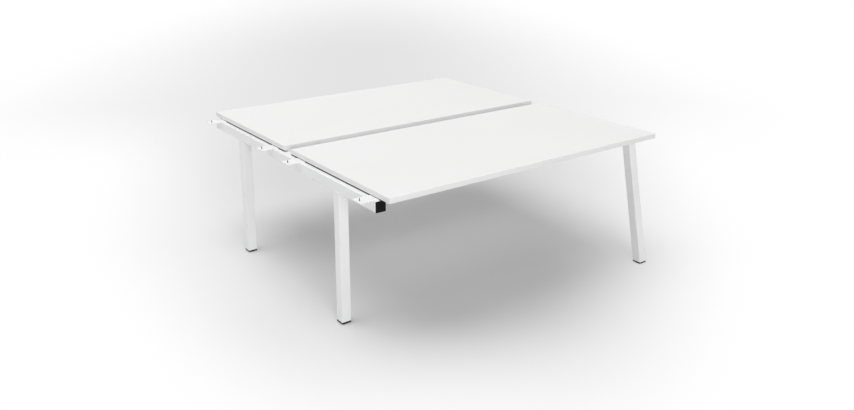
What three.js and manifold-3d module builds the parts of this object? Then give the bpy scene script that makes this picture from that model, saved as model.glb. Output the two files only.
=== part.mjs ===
// A benching desk for two: desktops back to back on a shared frame and an end frame of square steel tube.
// Millimetres, +Z up. The origin is on the floor under the middle of the desk.
// The front is -Y, and the shared frame is at -X.

import * as THREE from 'three';
import { mergeVertices } from 'three/addons/utils/BufferGeometryUtils.js';
import Module from 'manifold-3d';

const wasm = await Module();
wasm.setup();

// Desktops
const deskHeight = 740;
const topLength = 1710;
const topDepth = 890;
const topThick = 25;
const topGap = 70;
const edgingThick = 2;

// Square tube of both frames and of the stretchers
const tubeSide = 50;
const stretcherSide = 40;
const tubeWall = 2;
const tubeRound = 3;

// Shared frame, with its middle line under the desktops' left edges
const sharedBeamLength = 1720;
const sharedLegY = 522;
const capThick = 4;
const capPlugLength = 18;

// End frame, with its middle line set in from the desktops' right edges
const endInset = 35;
const endFootY = 904;
const endCornerY = 772;

// Plates between beams and desktops, with a damping pad as the upper layer of what is under a desktop
const plateThick = 5;
const plateWidth = 72;
const dampingThick = 2;
const dampingSetBack = 0.5;
const plateReach = 90;
const plateHoleReach = 74;
const endPlateBack = 20;
const plateRound = 4;
const plateRows = ['front_outer', 'front_inner', 'rear_inner', 'rear_outer'];
const sharedPlateY = [-808, -145, 145, 808];
const endPlateY = [-740, -145, 145, 740];

// Stretchers between the two beams
const stretcherY = 330;
const flangeThick = 4;
const flangeWidth = 104;
const flangeTall = 44;
const boltSpread = 38;

// Levelling feet
const footHeight = 11;
const padRadius = 22;
const padThick = 3;
const padFloor = 1;
const padChamfer = 0.8;
const insertDrop = 0.5;
const insertTop = 34;
const studRadius = 5;
const studTop = 50;
const studChamfer = 1;

// Fasteners
const screwRadius = 2.2;
const screwHeadRadius = 4.6;
const screwHeadTall = 2.8;
const screwInTop = 14;
const boltRadius = 4;
const boltHeadRadius = 7.5;
const boltHeadTall = 5.5;
const boltLength = 16;

// Room between pieces that touch, round shanks and in sockets, and the number of sides of round pieces
const seam = 0.25;
const shankRoom = 0.5;
const socketRoom = 0.3;
const padSides = 24;
const studSides = 14;
const shankSides = 10;
const hexSides = 6;

// Places that follow from the dimensions above
const topLeftX = -(topLength + plateReach) / 2 + plateReach;
const topRightX = topLeftX + topLength;
const topMiddleX = (topLeftX + topRightX) / 2;
const topMiddleY = (topGap + topDepth) / 2;
const topUnderZ = deskHeight - topThick;
const plateZ = topUnderZ - seam - plateThick;
const beamTopZ = plateZ - seam;
const beamMiddleZ = beamTopZ - tubeSide / 2;
const sharedX = topLeftX;
const endX = topRightX - endInset;
const lean = Math.atan2(endFootY - endCornerY, beamMiddleZ - footHeight);
const farAway = 4000;

const finishes = {
  melamine: { color: 0xf4f4f2, roughness: 0.42, metalness: 0 },
  edging: { color: 0xe6e6e4, roughness: 0.5, metalness: 0 },
  powderCoat: { color: 0xf2f2f0, roughness: 0.38, metalness: 0 },
  blackPlastic: { color: 0x151515, roughness: 0.55, metalness: 0 },
  zincSteel: { color: 0xb4b7ba, roughness: 0.35, metalness: 1 },
  blackZinc: { color: 0x2c2c2d, roughness: 0.4, metalness: 1 },
};

function piece(name, geometry, finish) {
  const mesh = new THREE.Mesh(geometry, new THREE.MeshStandardMaterial(finishes[finish]));
  mesh.name = name;
  return mesh;
}

// Cutting and joining
function solidOf(geometry) {
  const bare = geometry.clone();
  bare.deleteAttribute('normal');
  bare.deleteAttribute('uv');
  const merged = mergeVertices(bare);
  return new wasm.Manifold(new wasm.Mesh({
    numProp: 3,
    vertProperties: new Float32Array(merged.attributes.position.array),
    triVerts: new Uint32Array(merged.index.array),
  }));
}

function geometryOf(solid) {
  const mesh = solid.getMesh();
  const geometry = new THREE.BufferGeometry();
  geometry.setAttribute('position', new THREE.BufferAttribute(mesh.vertProperties, 3));
  geometry.setIndex(new THREE.BufferAttribute(mesh.triVerts, 1));
  geometry.computeVertexNormals();
  return geometry;
}

function subtract(body, cutters) {
  const rest = cutters.reduce((left, cutter) => left.subtract(solidOf(cutter)), solidOf(body));
  return geometryOf(rest);
}

function join(first, second) {
  return geometryOf(solidOf(first).add(solidOf(second)));
}

// A block that fills the far side of a plane, for trimming a piece to that plane
function beyond(point, outward) {
  const block = new THREE.BoxGeometry(farAway, farAway, farAway);
  block.translate(0, 0, farAway / 2);
  block.applyQuaternion(new THREE.Quaternion().setFromUnitVectors(new THREE.Vector3(0, 0, 1), outward));
  return block.translate(point.x, point.y, point.z);
}

// Sections and round shapes
function roundedRectangle(width, height, round) {
  const x = width / 2 - round;
  const y = height / 2 - round;
  const outline = new THREE.Shape();
  outline.absarc(x, y, round, 0, Math.PI / 2);
  outline.absarc(-x, y, round, Math.PI / 2, Math.PI);
  outline.absarc(-x, -y, round, Math.PI, 1.5 * Math.PI);
  outline.absarc(x, -y, round, 1.5 * Math.PI, 2 * Math.PI);
  outline.closePath();
  return outline;
}

function squareHole(side) {
  const half = side / 2;
  const corners = [[-half, -half], [half, -half], [half, half], [-half, half]];
  return new THREE.Path(corners.map(([x, y]) => new THREE.Vector2(x, y)));
}

function roundHole(x, y, radius) {
  const middle = new THREE.Vector2(x, y);
  const turns = [...Array(shankSides).keys()].map((step) => (step / shankSides) * 2 * Math.PI);
  return new THREE.Path(turns.map((turn) => new THREE.Vector2(x + radius, y).rotateAround(middle, turn)));
}

function extrude(outline, depth) {
  return new THREE.ExtrudeGeometry(outline, { depth, bevelEnabled: false, curveSegments: 3 });
}

function tube(side, length) {
  const section = roundedRectangle(side, side, tubeRound);
  section.holes.push(squareHole(side - 2 * tubeWall));
  return extrude(section, length);
}

function rod(radius, length, sides) {
  return new THREE.CylinderGeometry(radius, radius, length, sides).rotateX(Math.PI / 2);
}

function lathe(profile, sides) {
  const points = profile.map(([radius, height]) => new THREE.Vector2(radius, height));
  return new THREE.LatheGeometry(points, sides).rotateX(Math.PI / 2);
}

// Desktops: a board with blind screw holes in its underside, and a strip on each edge
function makeTop(name, middleY, screwPlaces) {
  const top = new THREE.Group();
  top.position.set(topMiddleX, middleY, topUnderZ);

  const shrink = 2 * (edgingThick + seam);
  const slab = new THREE.BoxGeometry(topLength - shrink, topDepth - shrink, topThick);
  slab.translate(0, 0, topThick / 2);
  const holes = screwPlaces.map(([x, y]) => {
    const hole = rod(screwRadius + shankRoom, 2 * (screwInTop + shankRoom), shankSides);
    return hole.translate(x - topMiddleX, y - middleY, 0);
  });
  top.add(piece(`${name}_board`, subtract(slab, holes), 'melamine'));

  const longStrip = [topLength, edgingThick, topThick];
  const shortStrip = [edgingThick, topDepth - shrink, topThick];
  const strips = [
    ['front', longStrip, 0, -(topDepth - edgingThick) / 2],
    ['back', longStrip, 0, (topDepth - edgingThick) / 2],
    ['left', shortStrip, -(topLength - edgingThick) / 2, 0],
    ['right', shortStrip, (topLength - edgingThick) / 2, 0],
  ];
  for (const [edge, size, x, y] of strips) {
    const strip = piece(`${name}_edge_${edge}`, new THREE.BoxGeometry(...size), 'edging');
    strip.position.set(x, y, topThick / 2);
    top.add(strip);
  }
  return top;
}

// Bolt holes through the wall of a beam that faces the stretchers
function beamBoltHoles(inward) {
  const holes = [];
  for (const side of [-1, 1]) {
    for (const spread of [-boltSpread, boltSpread]) {
      const hole = rod(boltRadius + shankRoom, tubeSide / 2, shankSides).rotateY(Math.PI / 2);
      holes.push(hole.translate((inward * tubeSide) / 2, side * stretcherY + spread, beamMiddleZ));
    }
  }
  return holes;
}

function beamTube(length) {
  return tube(tubeSide, length).rotateX(Math.PI / 2).translate(0, length / 2, beamMiddleZ);
}

// A plate that lies across a beam, with a screw hole near each end that needs one
function plateShape(from, to, holes) {
  const middle = (from + to) / 2;
  const outline = roundedRectangle(to - from, plateWidth, plateRound);
  for (const x of holes) {
    outline.holes.push(roundHole(x - middle, 0, screwRadius + shankRoom));
  }
  return extrude(outline, plateThick).translate(middle, 0, plateZ);
}

// The free end of a link plate has no damping pad, so it lies lower than the half under the desktop
function linkPlateShape() {
  const shape = plateShape(-plateReach, plateReach, [-plateHoleReach, plateHoleReach]);
  const bareSide = new THREE.BoxGeometry(2 * plateReach, 2 * plateWidth, 2 * dampingThick);
  bareSide.translate(dampingSetBack - plateReach, 0, plateZ + plateThick);
  return subtract(shape, [bareSide]);
}

// Pan-head wood screw, pointing up, with its head's seat at its own zero height
function makeTopScrew(name) {
  const bevel = screwHeadTall / 3;
  const profile = [
    [0, -screwHeadTall],
    [screwHeadRadius - bevel, -screwHeadTall],
    [screwHeadRadius, -screwHeadTall + bevel],
    [screwHeadRadius, 0],
    [screwRadius, 0],
    [screwRadius, plateThick + screwInTop - screwRadius],
    [0, plateThick + screwInTop],
  ];
  return piece(name, lathe(profile, shankSides), 'blackZinc');
}

// Black end cap of a beam: a face as large as the tube and a plug inside it, pointing along -Y
function makeBeamCap(name) {
  const face = extrude(roundedRectangle(tubeSide, tubeSide, tubeRound), capThick);
  const plugSide = tubeSide - 2 * (tubeWall + socketRoom);
  const plug = new THREE.BoxGeometry(plugSide, plugSide, capPlugLength);
  plug.translate(0, 0, -capPlugLength / 2 + seam);
  return piece(name, join(face, plug).rotateX(Math.PI / 2), 'blackPlastic');
}

// Levelling foot: an insert pressed into the tube's end, a threaded stud and a pad on the floor
function makeFoot(name, legLean) {
  const foot = new THREE.Group();

  const insertBottom = padThick + insertDrop;
  const flangeOutline = roundedRectangle(tubeSide, tubeSide / Math.cos(legLean), tubeRound);
  const flange = extrude(flangeOutline, footHeight - seam - insertBottom);
  flange.translate(0, 0, insertBottom);
  const plugSide = tubeSide - 2 * (tubeWall + socketRoom);
  const plug = new THREE.BoxGeometry(plugSide, plugSide, 4 * insertTop);
  plug.rotateX(-legLean).translate(0, 0, footHeight);
  const plugEnds = [
    beyond(new THREE.Vector3(0, 0, insertTop), new THREE.Vector3(0, 0, 1)),
    beyond(new THREE.Vector3(0, 0, insertBottom + insertDrop), new THREE.Vector3(0, 0, -1)),
  ];
  const blank = join(flange, subtract(plug, plugEnds));
  const bore = rod(studRadius + shankRoom, 4 * insertTop, studSides);
  foot.add(piece(`foot_insert_${name}`, subtract(blank, [bore]), 'blackPlastic'));

  const studBottom = padFloor + socketRoom;
  const studProfile = [
    [0, studBottom],
    [studRadius, studBottom],
    [studRadius, studTop - studChamfer],
    [studRadius - studChamfer, studTop],
    [0, studTop],
  ];
  foot.add(piece(`foot_stud_${name}`, lathe(studProfile, studSides), 'zincSteel'));

  const padProfile = [
    [0, 0],
    [padRadius - padChamfer, 0],
    [padRadius, padChamfer],
    [padRadius, padThick - padChamfer],
    [padRadius - padChamfer, padThick],
    [studRadius + shankRoom, padThick],
    [studRadius + shankRoom, padFloor],
    [0, padFloor],
  ];
  foot.add(piece(`foot_pad_${name}`, lathe(padProfile, padSides), 'blackPlastic'));
  return foot;
}

// Shared frame: beam with capped ends, two straight legs, link plates that reach past it to both sides
function makeSharedFrame() {
  const frame = new THREE.Group();
  frame.position.x = sharedX;

  const tubeLength = sharedBeamLength - 2 * (capThick + seam);
  frame.add(piece('shared_beam', subtract(beamTube(tubeLength), beamBoltHoles(1)), 'powderCoat'));

  for (const [name, side] of [['front', -1], ['rear', 1]]) {
    const cap = makeBeamCap(`shared_beam_cap_${name}`);
    cap.position.set(0, side * (sharedBeamLength / 2 - capThick), beamMiddleZ);
    cap.rotation.z = side < 0 ? 0 : Math.PI;
    frame.add(cap);

    const legTop = beamTopZ - tubeSide - seam;
    const leg = piece(`shared_leg_${name}`, tube(tubeSide, legTop - footHeight), 'powderCoat');
    leg.position.set(0, side * sharedLegY, footHeight);
    frame.add(leg);

    const foot = makeFoot(`shared_${name}`, 0);
    foot.position.y = side * sharedLegY;
    frame.add(foot);
  }

  sharedPlateY.forEach((y, row) => {
    const plate = piece(`link_plate_${plateRows[row]}`, linkPlateShape(), 'powderCoat');
    plate.position.y = y;
    frame.add(plate);
  });
  return frame;
}

// End frame: beam and two leaning legs joined by mitres, plates that reach inwards only
function makeEndFrame() {
  const frame = new THREE.Group();
  frame.position.x = endX;

  // The front mitre's plane runs through the corner where the two middle lines meet, and faces the beam.
  const corner = new THREE.Vector3(0, -endCornerY, beamMiddleZ);
  const towardsBeam = new THREE.Vector3(0, 1 + Math.sin(lean), Math.cos(lean)).normalize();
  const towardsLeg = towardsBeam.clone().negate();
  const beamSide = corner.clone().addScaledVector(towardsBeam, seam / 2);
  const legSide = corner.clone().addScaledVector(towardsLeg, seam / 2);

  const frontMitre = beyond(beamSide, towardsLeg);
  const rearMitre = frontMitre.clone().rotateZ(Math.PI);
  const beam = beamTube(2 * (endCornerY + tubeSide));
  frame.add(piece('end_beam', subtract(beam, [frontMitre, rearMitre, ...beamBoltHoles(-1)]), 'powderCoat'));

  const legLength = deskHeight + tubeSide;
  const longLeg = tube(tubeSide, legLength).translate(0, 0, -tubeSide / 2).rotateX(-lean);
  longLeg.translate(0, -endFootY, footHeight);
  const legEnds = [
    beyond(legSide, towardsBeam),
    beyond(new THREE.Vector3(0, 0, footHeight), new THREE.Vector3(0, 0, -1)),
  ];
  const legShape = subtract(longLeg, legEnds);

  for (const [name, turn] of [['front', 0], ['rear', Math.PI]]) {
    const side = new THREE.Group();
    side.rotation.z = turn;
    side.add(piece(`end_leg_${name}`, legShape.clone(), 'powderCoat'));
    const foot = makeFoot(`end_${name}`, lean);
    foot.position.y = -endFootY;
    side.add(foot);
    frame.add(side);
  }

  endPlateY.forEach((y, row) => {
    const shape = plateShape(-plateReach, endPlateBack, [-plateHoleReach]);
    const plate = piece(`end_plate_${plateRows[row]}`, shape, 'powderCoat');
    plate.position.y = y;
    frame.add(plate);
  });
  return frame;
}

// Screws from below, through the plates into the desktops
function makeTopScrews() {
  const screws = new THREE.Group();
  screws.position.z = plateZ - seam;
  const frames = [
    ['shared', sharedX + plateHoleReach, sharedPlateY],
    ['end', endX - plateHoleReach, endPlateY],
  ];
  for (const [frame, x, rows] of frames) {
    rows.forEach((y, row) => {
      const screw = makeTopScrew(`top_screw_${frame}_${plateRows[row]}`);
      screw.position.set(x, y, 0);
      screws.add(screw);
    });
  }
  return screws;
}

// A stretcher with a bolted flange at each end, from beam to beam
function makeStretcher(name, y) {
  const stretcher = new THREE.Group();
  stretcher.position.set(0, y, beamMiddleZ);

  const leftFace = sharedX + tubeSide / 2 + seam;
  const rightFace = endX - tubeSide / 2 - seam;
  const length = rightFace - leftFace - 2 * (flangeThick + seam);
  const bar = piece(`stretcher_${name}`, tube(stretcherSide, length).rotateY(Math.PI / 2), 'powderCoat');
  bar.position.x = leftFace + flangeThick + seam;
  stretcher.add(bar);

  for (const [end, face, turn] of [['left', leftFace, 0], ['right', rightFace, Math.PI]]) {
    const joint = new THREE.Group();
    joint.position.x = face;
    joint.rotation.z = turn;

    const outline = roundedRectangle(flangeTall, flangeWidth, plateRound);
    for (const spread of [-boltSpread, boltSpread]) {
      outline.holes.push(roundHole(0, spread, boltRadius + shankRoom));
    }
    const plate = extrude(outline, flangeThick).rotateY(Math.PI / 2);
    joint.add(piece(`stretcher_flange_${name}_${end}`, plate, 'powderCoat'));

    for (const [which, spread] of [['a', -boltSpread], ['b', boltSpread]]) {
      const bolt = makeBolt(`flange_bolt_${name}_${end}_${which}`);
      bolt.position.set(flangeThick + seam, spread, 0);
      joint.add(bolt);
    }
    stretcher.add(joint);
  }
  return stretcher;
}

// Hexagon bolt along -X, with its head's seat at its own zero
function makeBolt(name) {
  const head = rod(boltHeadRadius, boltHeadTall, hexSides).translate(0, 0, boltHeadTall / 2);
  const shank = rod(boltRadius, boltLength, shankSides).translate(0, 0, seam - boltLength / 2);
  return piece(name, join(head, shank).rotateY(Math.PI / 2), 'zincSteel');
}

function makeDesk() {
  const desk = new THREE.Group();
  const screwPlaces = (rows) => rows.flatMap((row) => [
    [sharedX + plateHoleReach, sharedPlateY[row]],
    [endX - plateHoleReach, endPlateY[row]],
  ]);
  desk.add(makeTop('front_top', -topMiddleY, screwPlaces([0, 1])));
  desk.add(makeTop('rear_top', topMiddleY, screwPlaces([2, 3])));
  desk.add(makeSharedFrame());
  desk.add(makeEndFrame());
  desk.add(makeTopScrews());
  desk.add(makeStretcher('front', -stretcherY));
  desk.add(makeStretcher('rear', stretcherY));
  return desk;
}

export default makeDesk();
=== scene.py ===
import math

import bmesh
import bpy
from mathutils import Matrix, Vector


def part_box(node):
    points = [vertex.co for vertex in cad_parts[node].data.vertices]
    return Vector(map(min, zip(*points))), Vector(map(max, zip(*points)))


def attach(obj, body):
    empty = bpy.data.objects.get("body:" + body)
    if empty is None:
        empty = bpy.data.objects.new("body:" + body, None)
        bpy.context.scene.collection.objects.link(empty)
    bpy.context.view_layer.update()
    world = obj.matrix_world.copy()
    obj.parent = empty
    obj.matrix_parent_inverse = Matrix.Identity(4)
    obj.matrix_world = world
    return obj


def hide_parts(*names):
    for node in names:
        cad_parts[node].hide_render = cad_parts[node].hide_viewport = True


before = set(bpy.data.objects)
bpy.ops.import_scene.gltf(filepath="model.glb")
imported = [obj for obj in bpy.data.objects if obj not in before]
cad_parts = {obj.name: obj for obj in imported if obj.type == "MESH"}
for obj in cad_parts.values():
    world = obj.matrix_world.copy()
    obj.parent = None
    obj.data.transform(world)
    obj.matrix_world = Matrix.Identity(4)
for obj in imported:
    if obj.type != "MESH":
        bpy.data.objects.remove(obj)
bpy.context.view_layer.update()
scene = bpy.context.scene

fullTurn = 2 * math.pi
quarterTurn = math.pi / 2
xAxis = Vector((1, 0, 0))
yAxis = Vector((0, 1, 0))
zAxis = Vector((0, 0, 1))
halves = {"front": -1, "rear": 1}  # the desk's two halves, and which way each lies along Y

number = "NodeSocketFloat"
whole = "NodeSocketInt"
vector = "NodeSocketVector"


# Node helpers, for shaders and geometry alike
# A new node gives its outputs, and an input that takes many links gets a list
def addNode(tree, kind, inputs=None, **settings):
    made = tree.nodes.new(kind)
    for key, value in settings.items():
        setattr(made, key, value)
    for key, value in (inputs or {}).items():
        for source in value if isinstance(value, list) else [value]:
            if isinstance(source, bpy.types.NodeSocket):
                tree.links.new(source, made.inputs[key])
            else:
                made.inputs[key].default_value = source
    return made.outputs


def addMath(tree, operation, first, second=0.0, third=0.0):
    values = {0: first, 1: second, 2: third}
    return addNode(tree, "ShaderNodeMath", values, operation=operation)[0]


def scaled(tree, value, factor):
    return addMath(tree, "MULTIPLY", value, factor)


def addMix(tree, factor, first, second):
    values = {0: factor, 6: first, 7: second}
    return addNode(tree, "ShaderNodeMix", values, data_type="RGBA")[2]


# From 0 at start to 1 at end
def addRamp(tree, value, start, end, kind="LINEAR"):
    values = {0: value, 1: start, 2: end, 3: 0.0, 4: 1.0}
    return addNode(tree, "ShaderNodeMapRange", values, interpolation_type=kind)[0]


def addNoise(tree, place, scale, detail, **more):
    values = {"Vector": place, "Scale": scale, "Detail": detail, **more}
    return addNode(tree, "ShaderNodeTexNoise", values)["Fac"]


def openColour(grey, warm=0.0):
    return (grey * (1 + warm), grey, grey * (1 - warm), 1)


def numberSockets(settings):
    return [(title, whole if isinstance(value, int) else number, value) for title, value in settings.items()]


def startGroup(name, kind, inputs, outputs):
    tree = bpy.data.node_groups.new(name, kind)
    for title, socketKind, value in inputs:
        socket = tree.interface.new_socket(title, in_out="INPUT", socket_type=socketKind)
        if value is not None:
            socket.default_value = value
    for title, socketKind in outputs:
        tree.interface.new_socket(title, in_out="OUTPUT", socket_type=socketKind)
    return tree, addNode(tree, "NodeGroupInput"), tree.nodes.new("NodeGroupOutput").inputs


# Shared surface effects, each with its own fixed mix
def startEffect(name, settings, *outputs):
    inputs = [("Vector", vector, None), *numberSockets(settings)]
    return startGroup(name, "ShaderNodeTree", inputs, [(title, number) for title in outputs])


grainMix = {"finer": 3.1, "coarseShare": 0.65, "fineShare": 0.35, "cloud": (0.3, 0.7)}


def makeGrainGroup():
    settings = {"Scale": 1000.0, "Cloud Scale": 2.0}
    tree, entry, leave = startEffect("surfaceGrain", settings, "Height", "Cloud")
    place, scale = entry["Vector"], entry["Scale"]
    coarse = addNoise(tree, place, scale, detail=2.0)
    fine = addNoise(tree, place, scaled(tree, scale, grainMix["finer"]), detail=1.0)
    fineShare = scaled(tree, fine, grainMix["fineShare"])
    height = addMath(tree, "MULTIPLY_ADD", coarse, grainMix["coarseShare"], fineShare)
    cloud = addNoise(tree, place, entry["Cloud Scale"], detail=4.0, Roughness=0.55)
    tree.links.new(height, leave["Height"])
    tree.links.new(addRamp(tree, cloud, *grainMix["cloud"]), leave["Cloud"])
    return tree


wearMix = {"rubbed": (0.46, 0.68)}


def makeWearGroup():
    settings = {"Edge": 0.0, "Scale": 60.0, "Amount": 0.5}
    tree, entry, leave = startEffect("edgeWear", settings, "Mask")
    breaks = addNoise(tree, entry["Vector"], entry["Scale"], detail=5.0)
    rubbed = addRamp(tree, breaks, *wearMix["rubbed"])
    onEdge = scaled(tree, rubbed, entry["Edge"])
    tree.links.new(scaled(tree, onEdge, entry["Amount"]), leave["Mask"])
    return tree


handlingMix = {"finer": 9.0, "broadShare": 0.6, "smallShare": 0.4, "smudge": (0.35, 0.65)}


def makeHandlingGroup():
    settings = {"Scale": 5.0, "Base": 0.4, "Spread": 0.1}
    tree, entry, leave = startEffect("handling", settings, "Roughness")
    place, scale = entry["Vector"], entry["Scale"]
    broad = addNoise(tree, place, scale, detail=3.0, Distortion=0.6)
    small = addNoise(tree, place, scaled(tree, scale, handlingMix["finer"]), detail=2.0)
    broadShare = scaled(tree, broad, handlingMix["broadShare"])
    both = addMath(tree, "MULTIPLY_ADD", small, handlingMix["smallShare"], broadShare)
    smudge = addRamp(tree, both, *handlingMix["smudge"])
    offset = scaled(tree, addMath(tree, "SUBTRACT", smudge, 0.5), entry["Spread"])
    tree.links.new(addMath(tree, "ADD", entry["Base"], offset), leave["Roughness"])
    return tree


grainGroup = makeGrainGroup()
wearGroup = makeWearGroup()
handlingGroup = makeHandlingGroup()


def useGroup(tree, group, inputs):
    return addNode(tree, "ShaderNodeGroup", inputs, node_tree=group)


def startMaterial(name):
    material = bpy.data.materials.new(name)
    material.use_nodes = True
    return material, material.node_tree


# Every finish has grain, clouds of tone, handled roughness, rubbed edges and a fine relief
def makeFinish(name, look):
    material, tree = startMaterial(name)
    shader = tree.nodes["Principled BSDF"]
    for socket, value in look.get("constants", {}).items():
        shader.inputs[socket].default_value = value
    place = addNode(tree, "ShaderNodeTexCoord")["Object"]
    stretchInputs = {"Vector": place, "Scale": look.get("stretch", (1, 1, 1))}
    place = addNode(tree, "ShaderNodeMapping", stretchInputs)[0]
    grainInputs = {"Vector": place, "Scale": look["grainScale"], "Cloud Scale": look["cloudScale"]}
    grain = useGroup(tree, grainGroup, grainInputs)
    handlingInputs = {
        "Vector": place, "Scale": look["smudgeScale"], "Base": look["roughness"], "Spread": look["spread"],
    }
    handling = useGroup(tree, handlingGroup, handlingInputs)
    edge = addNode(tree, "ShaderNodeAttribute", attribute_name="edge")["Fac"]
    wearInputs = {"Vector": place, "Edge": edge, "Scale": look["wearScale"], "Amount": look["wear"]}
    wear = useGroup(tree, wearGroup, wearInputs)
    tone = addMix(tree, grain["Cloud"], look["shade"], look["colour"])
    tree.links.new(addMix(tree, wear["Mask"], tone, look["worn"]), shader.inputs["Base Color"])
    tree.links.new(handling["Roughness"], shader.inputs["Roughness"])
    height = grain["Height"]
    if "peelScale" in look:  # orange peel, with the fine grain as dust on it
        peelInputs = {"Vector": place, "Scale": look["peelScale"]}
        peel = addNode(tree, "ShaderNodeTexVoronoi", peelInputs, feature="SMOOTH_F1")["Distance"]
        height = addMath(tree, "MULTIPLY_ADD", height, look["dust"], peel)
    bumpInputs = {"Strength": look["relief"], "Distance": look["reliefDepth"], "Height": height}
    bump = addNode(tree, "ShaderNodeBump", bumpInputs)[0]
    tree.links.new(bump, shader.inputs["Normal"])
    return material


melamineLook = {
    "colour": openColour(0.860, 0.002), "shade": openColour(0.842, 0.004), "worn": openColour(0.80),
    "grainScale": 1300.0, "cloudScale": 1.7, "relief": 0.22, "reliefDepth": 0.00012,
    "roughness": 0.40, "spread": 0.10, "smudgeScale": 4.0, "wear": 0.3, "wearScale": 70.0,
}
edgingLook = {
    "colour": openColour(0.822, 0.003), "shade": openColour(0.788, 0.004), "worn": openColour(0.70),
    "grainScale": 900.0, "cloudScale": 3.0, "relief": 0.16, "reliefDepth": 0.00010,
    "roughness": 0.44, "spread": 0.12, "smudgeScale": 30.0, "wear": 0.25, "wearScale": 120.0,
    "stretch": (0.12, 0.12, 1.0),
}
powderLook = {
    "colour": openColour(0.880), "shade": openColour(0.860, -0.002), "worn": openColour(0.60),
    "grainScale": 1500.0, "cloudScale": 4.0, "relief": 0.20, "reliefDepth": 0.00015,
    "roughness": 0.36, "spread": 0.12, "smudgeScale": 9.0, "wear": 0.35, "wearScale": 90.0,
    "peelScale": 420.0, "dust": 0.25,
}
plasticLook = {
    "colour": openColour(0.0045), "shade": openColour(0.0032), "worn": openColour(0.022),
    "grainScale": 1900.0, "cloudScale": 20.0, "relief": 0.35, "reliefDepth": 0.00010,
    "roughness": 0.50, "spread": 0.16, "smudgeScale": 40.0, "wear": 0.6, "wearScale": 160.0,
    "constants": {"Specular IOR Level": 0.10},
}
zincLook = {
    "colour": openColour(0.640, -0.010), "shade": openColour(0.540, 0.012), "worn": openColour(0.42),
    "grainScale": 1400.0, "cloudScale": 90.0, "relief": 0.25, "reliefDepth": 0.00008,
    "roughness": 0.32, "spread": 0.16, "smudgeScale": 120.0, "wear": 0.5, "wearScale": 400.0,
    "constants": {"Metallic": 1.0},
}
blackZincLook = {
    **zincLook, "roughness": 0.40,
    "colour": openColour(0.050), "shade": openColour(0.036, 0.010), "worn": openColour(0.16),
}
finishes = {
    "melamine_board": makeFinish("whiteMelamine", melamineLook),
    "edging": makeFinish("whiteEdging", edgingLook),
    "white_powder_coat": makeFinish("whitePowderCoat", powderLook),
    "black_plastic": makeFinish("blackPlastic", plasticLook),
    "zinc_steel": makeFinish("zincSteel", zincLook),
    "black_zinc_steel": makeFinish("blackZincSteel", blackZincLook),
}
coat = "white_powder_coat"
print("finishes made:", ", ".join(finishes))

usualSharp = 32  # degrees between two faces from which their edge stays sharp


# Meshes from rings of points; a point's fourth value marks it as lying on a worn edge
def loftMesh(name, rings, wrap=False, sharpAngle=usualSharp):
    shape = bmesh.new()
    marks = shape.verts.layers.float.new("edge")
    rows = [[shape.verts.new(point[:3]) for point in ring] for ring in rings]
    for row, ring in zip(rows, rings):
        for vert, point in zip(row, ring):
            vert[marks] = point[3]
    following = rows[1:] + (rows[:1] if wrap else [])
    for lower, upper in zip(rows, following):
        for here in range(len(lower)):
            there = (here + 1) % len(lower)
            shape.faces.new((lower[here], lower[there], upper[there], upper[here]))
    if not wrap:
        shape.faces.new(rows[0][::-1])
        shape.faces.new(rows[-1])
    return closeMesh(name, shape, sharpAngle)


def closeMesh(name, shape, sharpAngle):
    bmesh.ops.recalc_face_normals(shape, faces=shape.faces)
    mesh = bpy.data.meshes.new(name)
    shape.to_mesh(mesh)
    shape.free()
    smoothMesh(mesh, sharpAngle)
    return mesh


def smoothMesh(mesh, sharpAngle):
    mesh.shade_smooth()
    mesh.set_sharp_from_angle(angle=math.radians(sharpAngle))


def onCircle(x, y, radius, turn):
    return x + radius * math.cos(turn), y + radius * math.sin(turn)


def quarterTurns(steps):
    return [step / steps * quarterTurn for step in range(steps + 1)]


# Quarter round about a middle, with a point on the flat before and after it, worn most half way
def roundCorner(x, y, radius, first, steps, lead):
    last = first + quarterTurn
    startX, startY = onCircle(x, y, radius, first)
    endX, endY = onCircle(x, y, radius, last)
    corner = [(startX + lead * math.sin(first), startY - lead * math.cos(first), 0.0)]
    for step in range(steps + 1):
        share = step / steps
        corner.append((*onCircle(x, y, radius, first + share * quarterTurn), 4 * share * (1 - share)))
    corner.append((endX - lead * math.sin(last), endY + lead * math.cos(last), 0.0))
    return corner


# Rounded rectangle, counter-clockwise
def roundedLoop(width, depth, radius, steps, lead):
    loop = []
    for quarter, (signX, signY) in enumerate(((1, 1), (-1, 1), (-1, -1), (1, -1))):
        middleX = signX * (width / 2 - radius)
        middleY = signY * (depth / 2 - radius)
        loop += roundCorner(middleX, middleY, radius, quarter * quarterTurn, steps, lead)
    return loop


def camelName(node):
    first, *rest = node.split("_")
    return first + "".join(word.capitalize() for word in rest)


def addObject(name, data):
    made = bpy.data.objects.new(name, data)
    scene.collection.objects.link(made)
    return made


def evaluatedMesh(source):
    return bpy.data.meshes.new_from_object(source.evaluated_get(bpy.context.evaluated_depsgraph_get()))


def registerPiece(piece, body, nodes):
    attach(piece, body)
    if nodes:
        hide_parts(*nodes)


def addPiece(name, mesh, slotName, body, *nodes):
    mesh.materials.clear()
    mesh.materials.append(finishes[slotName])
    registerPiece(addObject(name, mesh), body, nodes)


# A piece that stands for one CAD node takes its name
def standFor(node, mesh, slotName, body="desk"):
    addPiece(camelName(node), mesh, slotName, body, node)


def middleOf(node):
    low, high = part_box(node)
    return (low + high) / 2


# Geometry node trees: each gets a carrier mesh and gives a plain mesh back
def startTree(name, inputs):
    sockets = [("Geometry", "NodeSocketGeometry", None), *inputs, ("Material", "NodeSocketMaterial", None)]
    return startGroup(name, "GeometryNodeTree", sockets, [("Geometry", "NodeSocketGeometry")])


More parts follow.
